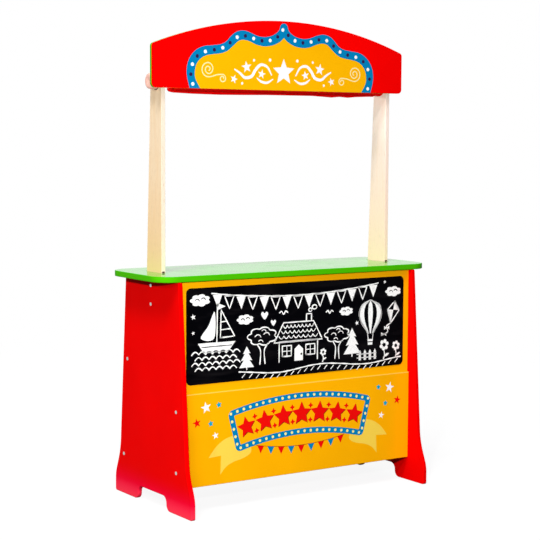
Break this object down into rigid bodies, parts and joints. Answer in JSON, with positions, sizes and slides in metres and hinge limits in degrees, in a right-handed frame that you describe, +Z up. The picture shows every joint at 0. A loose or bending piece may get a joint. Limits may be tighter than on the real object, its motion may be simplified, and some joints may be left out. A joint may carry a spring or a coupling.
{
  "type": "puppet theater stand",
  "caption": "Free-standing children's puppet theater: painted cabinet with a chalkboard front, counter, two posts, arched sign and a roll-up curtain on a knobbed dowel.",
  "frame": {"origin": "on the floor under the middle of the stand", "axes": "+Z up, +X along the counter to the right of someone who faces the chalkboard, -Y towards them"},
  "size_m": [0.75, 0.354, 1.1],
  "materials": {
    "red_panel": "satin paint",
    "green_counter": "gloss paint",
    "yellow_front": "satin paint",
    "chalkboard": "matte",
    "red_sign": "satin paint",
    "pale_wood": "bare",
    "pink_wood": "satin",
    "red_cloth": "matte",
    "screw_steel": "polished",
    "angle_steel": "zinc plated"
  },
  "bodies": {
    "stand": {"side_panel_left": "red_panel", "side_panel_right": "red_panel", "counter": "green_counter", "upper_front_panel": "yellow_front", "lower_front_board": "yellow_front", "chalkboard_sheet": "chalkboard", "lower_shelf": "red_panel", "middle_shelf": "red_panel", "post_left": "pale_wood", "post_right": "pale_wood", "sign_board": "red_sign", "lower_board_screw_top_left": "screw_steel", "lower_board_screw_bottom_left": "screw_steel", "lower_shelf_screw_left": "screw_steel", "middle_shelf_screw_left": "screw_steel", "lower_board_screw_top_right": "screw_steel", "lower_board_screw_bottom_right": "screw_steel", "lower_shelf_screw_right": "screw_steel", "middle_shelf_screw_right": "screw_steel", "post_bolt_upper_left": "screw_steel", "post_bolt_lower_left": "screw_steel", "post_bolt_upper_right": "screw_steel", "post_bolt_lower_right": "screw_steel", "post_bolt_upper_nut_left": "screw_steel", "post_bolt_lower_nut_left": "screw_steel", "post_bolt_upper_nut_right": "screw_steel", "post_bolt_lower_nut_right": "screw_steel", "lower_shelf_pin_left": "pale_wood", "middle_shelf_pin_left": "pale_wood", "lower_shelf_pin_right": "pale_wood", "middle_shelf_pin_right": "pale_wood", "counter_pin_front_left": "pale_wood", "counter_pin_rear_left": "pale_wood", "counter_pin_front_right": "pale_wood", "counter_pin_rear_right": "pale_wood", "counter_angle_left": "angle_steel", "counter_angle_right": "angle_steel", "sign_angle_left": "angle_steel", "sign_angle_right": "angle_steel", "counter_angle_screw_top_left": "screw_steel", "counter_angle_screw_side_left": "screw_steel", "counter_angle_screw_top_right": "screw_steel", "counter_angle_screw_side_right": "screw_steel", "sign_angle_screw_front_left": "screw_steel", "sign_angle_screw_side_left": "screw_steel", "sign_angle_screw_front_right": "screw_steel", "sign_angle_screw_side_right": "screw_steel", "curtain_drop": "red_cloth"},
    "roller": {"curtain_dowel": "pale_wood", "curtain_knob": "pink_wood", "dowel_end_cap": "pink_wood", "rolled_curtain": "red_cloth"},
    "hem": {"curtain_hem": "red_cloth", "hem_rod": "pale_wood"}
  },
  "joints": [
    {"name": "roller_turn", "type": "hinge", "parent": "stand", "child": "roller", "pos_m": [0, -0.0035, 0.956], "axis": [-1, 0, 0], "range_deg": [0, 1440]},
    {"name": "hem_drop", "type": "slide", "parent": "stand", "child": "hem", "axis": [0, 0, -1], "range_m": [0, 0.398], "deforming": ["curtain_drop"]}
  ],
  "couplings": [
    {"joint": "hem_drop", "follows": "roller_turn", "m_per_rad": 0.01583}
  ]
}
